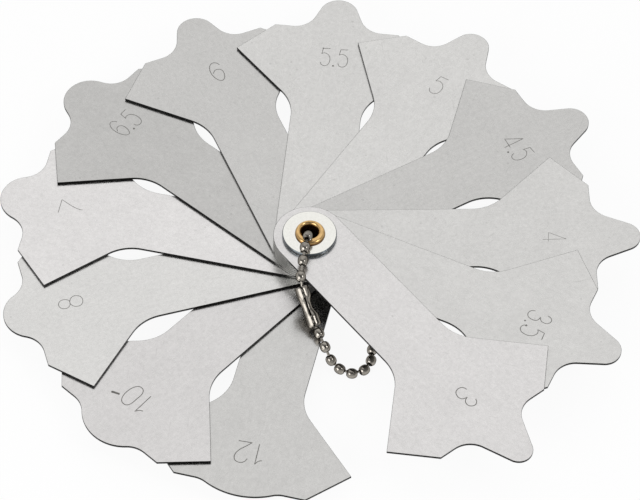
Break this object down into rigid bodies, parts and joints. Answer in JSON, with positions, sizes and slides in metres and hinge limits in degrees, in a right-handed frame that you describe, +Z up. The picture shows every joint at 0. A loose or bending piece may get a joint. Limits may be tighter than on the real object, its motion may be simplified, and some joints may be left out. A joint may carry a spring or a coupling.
{
  "type": "fillet weld gauge",
  "caption": "Fan of sheet metal weld gauge leaves, each with a rounded throat lobe between two square measuring edges, on a hollow rivet with a ball chain.",
  "frame": {"origin": "centre of the hollow rivet, on the flat of its lower rim", "axes": "+Z up the rivet through the stack of leaves, +X to the right of the fan, +Y away from the person who looks at it"},
  "size_m": [0.1494, 0.1428, 0.0175],
  "materials": {
    "leaf": "rolled sheet, fine scratches",
    "washer": "polished",
    "eyelet": "rolled, bright",
    "chain": "nickel plated, bright"
  },
  "bodies": {
    "rivet": {"eyelet": "eyelet", "washer_top": "washer", "washer_bottom": "washer", "chain_bead_24": "chain", "chain_bead_25": "chain", "chain_bead_26": "chain", "chain_bead_27": "chain", "chain_pins_bore": "chain"},
    "gauge_3": {"leaf_3": "leaf"},
    "gauge_3_5": {"leaf_3_5": "leaf"},
    "gauge_4": {"leaf_4": "leaf"},
    "gauge_4_5": {"leaf_4_5": "leaf"},
    "gauge_5": {"leaf_5": "leaf"},
    "gauge_5_5": {"leaf_5_5": "leaf"},
    "gauge_6": {"leaf_6": "leaf"},
    "gauge_6_5": {"leaf_6_5": "leaf"},
    "gauge_7": {"leaf_7": "leaf"},
    "gauge_8": {"leaf_8": "leaf"},
    "gauge_10": {"leaf_10": "leaf"},
    "gauge_12": {"leaf_12": "leaf"},
    "chain_loop": {"chain_bead_02": "chain", "chain_bead_03": "chain", "chain_bead_04": "chain", "chain_bead_05": "chain", "chain_bead_06": "chain", "chain_bead_07": "chain", "chain_bead_08": "chain", "chain_bead_09": "chain", "chain_bead_10": "chain", "chain_bead_11": "chain", "chain_bead_12": "chain", "chain_bead_13": "chain", "chain_bead_14": "chain", "chain_bead_15": "chain", "chain_bead_16": "chain", "chain_bead_17": "chain", "chain_bead_18": "chain", "chain_bead_19": "chain", "chain_bead_20": "chain", "chain_bead_21": "chain", "chain_bead_22": "chain", "chain_bead_23": "chain", "chain_pins_loop": "chain"},
    "chain_front": {"chain_bead_28": "chain", "chain_bead_29": "chain", "chain_bead_30": "chain", "chain_bead_31": "chain", "chain_bead_01": "chain", "chain_pins_front": "chain"},
    "chain_sleeve": {"chain_coupling": "chain"}
  },
  "joints": [
    {"name": "turn_3", "type": "hinge", "parent": "rivet", "child": "gauge_3", "pos_m": [0, 0, 0], "axis": [0, 0, 1], "range_deg": [0, 265]},
    {"name": "turn_3_5", "type": "hinge", "parent": "rivet", "child": "gauge_3_5", "pos_m": [0, 0, 0], "axis": [0, 0, 1], "range_deg": [-26.9, 243]},
    {"name": "turn_4", "type": "hinge", "parent": "rivet", "child": "gauge_4", "pos_m": [0, 0, 0], "axis": [0, 0, 1], "range_deg": [-53.3, 216]},
    {"name": "turn_4_5", "type": "hinge", "parent": "rivet", "child": "gauge_4_5", "pos_m": [0, 0, 0], "axis": [0, 0, 1], "range_deg": [-82, 189]},
    {"name": "turn_5", "type": "hinge", "parent": "rivet", "child": "gauge_5", "pos_m": [0, 0, 0], "axis": [0, 0, 1], "range_deg": [-108.5, 167]},
    {"name": "turn_5_5", "type": "hinge", "parent": "rivet", "child": "gauge_5_5", "pos_m": [0, 0, 0], "axis": [0, 0, 1], "range_deg": [-135.9, 144]},
    {"name": "turn_6", "type": "hinge", "parent": "rivet", "child": "gauge_6", "pos_m": [0, 0, 0], "axis": [0, 0, 1], "range_deg": [-164.8, 120]},
    {"name": "turn_6_5", "type": "hinge", "parent": "rivet", "child": "gauge_6_5", "pos_m": [0, 0, 0], "axis": [0, 0, 1], "range_deg": [-192.2, 96]},
    {"name": "turn_7", "type": "hinge", "parent": "rivet", "child": "gauge_7", "pos_m": [0, 0, 0], "axis": [0, 0, 1], "range_deg": [-219.7, 70]},
    {"name": "turn_8", "type": "hinge", "parent": "rivet", "child": "gauge_8", "pos_m": [0, 0, 0], "axis": [0, 0, 1], "range_deg": [-248, 44]},
    {"name": "turn_10", "type": "hinge", "parent": "rivet", "child": "gauge_10", "pos_m": [0, 0, 0], "axis": [0, 0, 1], "range_deg": [-278.9, 16]},
    {"name": "turn_12", "type": "hinge", "parent": "rivet", "child": "gauge_12", "pos_m": [0, 0, 0], "axis": [0, 0, 1], "range_deg": [-308.2, 0]},
    {"name": "chain_swing", "type": "hinge", "parent": "rivet", "child": "chain_loop", "pos_m": [0, 0, 0], "axis": [0, 0, 1], "range_deg": [0, 8]},
    {"name": "chain_lift", "type": "hinge", "parent": "rivet", "child": "chain_front", "pos_m": [-0.00036, -0.00266, 0.0135], "axis": [-0.9924, -0.1234, 0], "range_deg": [0, 70]},
    {"name": "coupling_spin", "type": "hinge", "parent": "chain_front", "child": "chain_sleeve", "pos_m": [0.00018, -0.01779, 0.00686], "axis": [0.3713, -0.7225, -0.5832], "continuous": true}
  ]
}
